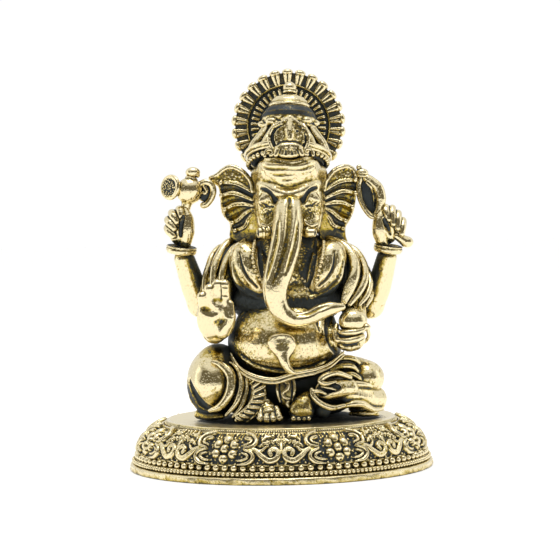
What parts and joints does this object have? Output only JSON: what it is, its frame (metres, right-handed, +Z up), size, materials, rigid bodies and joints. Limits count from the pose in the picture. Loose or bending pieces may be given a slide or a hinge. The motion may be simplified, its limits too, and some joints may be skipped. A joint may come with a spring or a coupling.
{
  "type": "hindu deity statue",
  "caption": "Seated elephant-headed deity statuette with curled trunk, tiered crown and rayed halo on a round domed base with beaded and floral relief; a shelf or shrine figure.",
  "frame": {"origin": "centre of the base's flat underside", "axes": "+Z up through the base's axis, the figure faces -Y, its right side is on -X"},
  "size_m": [0.054, 0.054, 0.0712],
  "materials": {
    "antique_gold": "polished gold-tone metal with a dark patina left in the recesses",
    "oxidised_gold": "finely textured gold-tone relief, darkened between the raised lines"
  },
  "bodies": {
    "root": {"base_plinth": "antique_gold", "base_foot_ring": "antique_gold", "base_small_bead_row": "antique_gold", "base_large_bead_row": "antique_gold", "base_floral_band": "oxidised_gold", "base_top_rim": "antique_gold", "torso": "antique_gold", "belly": "antique_gold", "dhoti_seat": "antique_gold", "head": "antique_gold", "right_rear_arm": "antique_gold", "left_rear_arm": "antique_gold", "right_front_arm": "antique_gold", "left_front_arm": "antique_gold", "right_knee": "antique_gold", "left_knee": "antique_gold", "right_shin_folds": "antique_gold", "left_shin_drape": "antique_gold", "right_hem_band": "antique_gold", "left_hem_cuff": "antique_gold", "right_foot": "antique_gold", "left_foot": "antique_gold", "left_lower_fold": "antique_gold", "waist_pleats": "oxidised_gold", "crown_brow_band": "antique_gold", "crown_brow_beads": "oxidised_gold", "crown_tier": "antique_gold", "crown_cuff": "antique_gold", "crown_dome": "antique_gold", "crown_finial": "antique_gold", "crown_medallion": "antique_gold", "halo_plate": "oxidised_gold", "halo_rope_ring": "antique_gold", "halo_ray_ring": "antique_gold", "hair_knot": "oxidised_gold", "trunk": "antique_gold", "right_tusk": "antique_gold", "left_tusk": "antique_gold", "right_ear": "antique_gold", "left_ear": "antique_gold", "right_shawl": "antique_gold", "left_shawl": "antique_gold", "bead_garland": "oxidised_gold", "snake_hood": "antique_gold", "snake_belt": "antique_gold", "right_rear_bracelet": "antique_gold", "left_rear_bracelet": "antique_gold", "right_rear_fist": "antique_gold", "left_rear_fist": "antique_gold", "axe_body": "antique_gold", "axe_finial": "antique_gold", "axe_blade": "oxidised_gold", "axe_hook": "antique_gold", "noose_loop": "oxidised_gold", "noose_knot": "antique_gold", "noose_pommel": "antique_gold", "blessing_hand": "antique_gold", "offering_hand": "antique_gold", "sweet_ball": "antique_gold"}
  },
  "joints": []
}
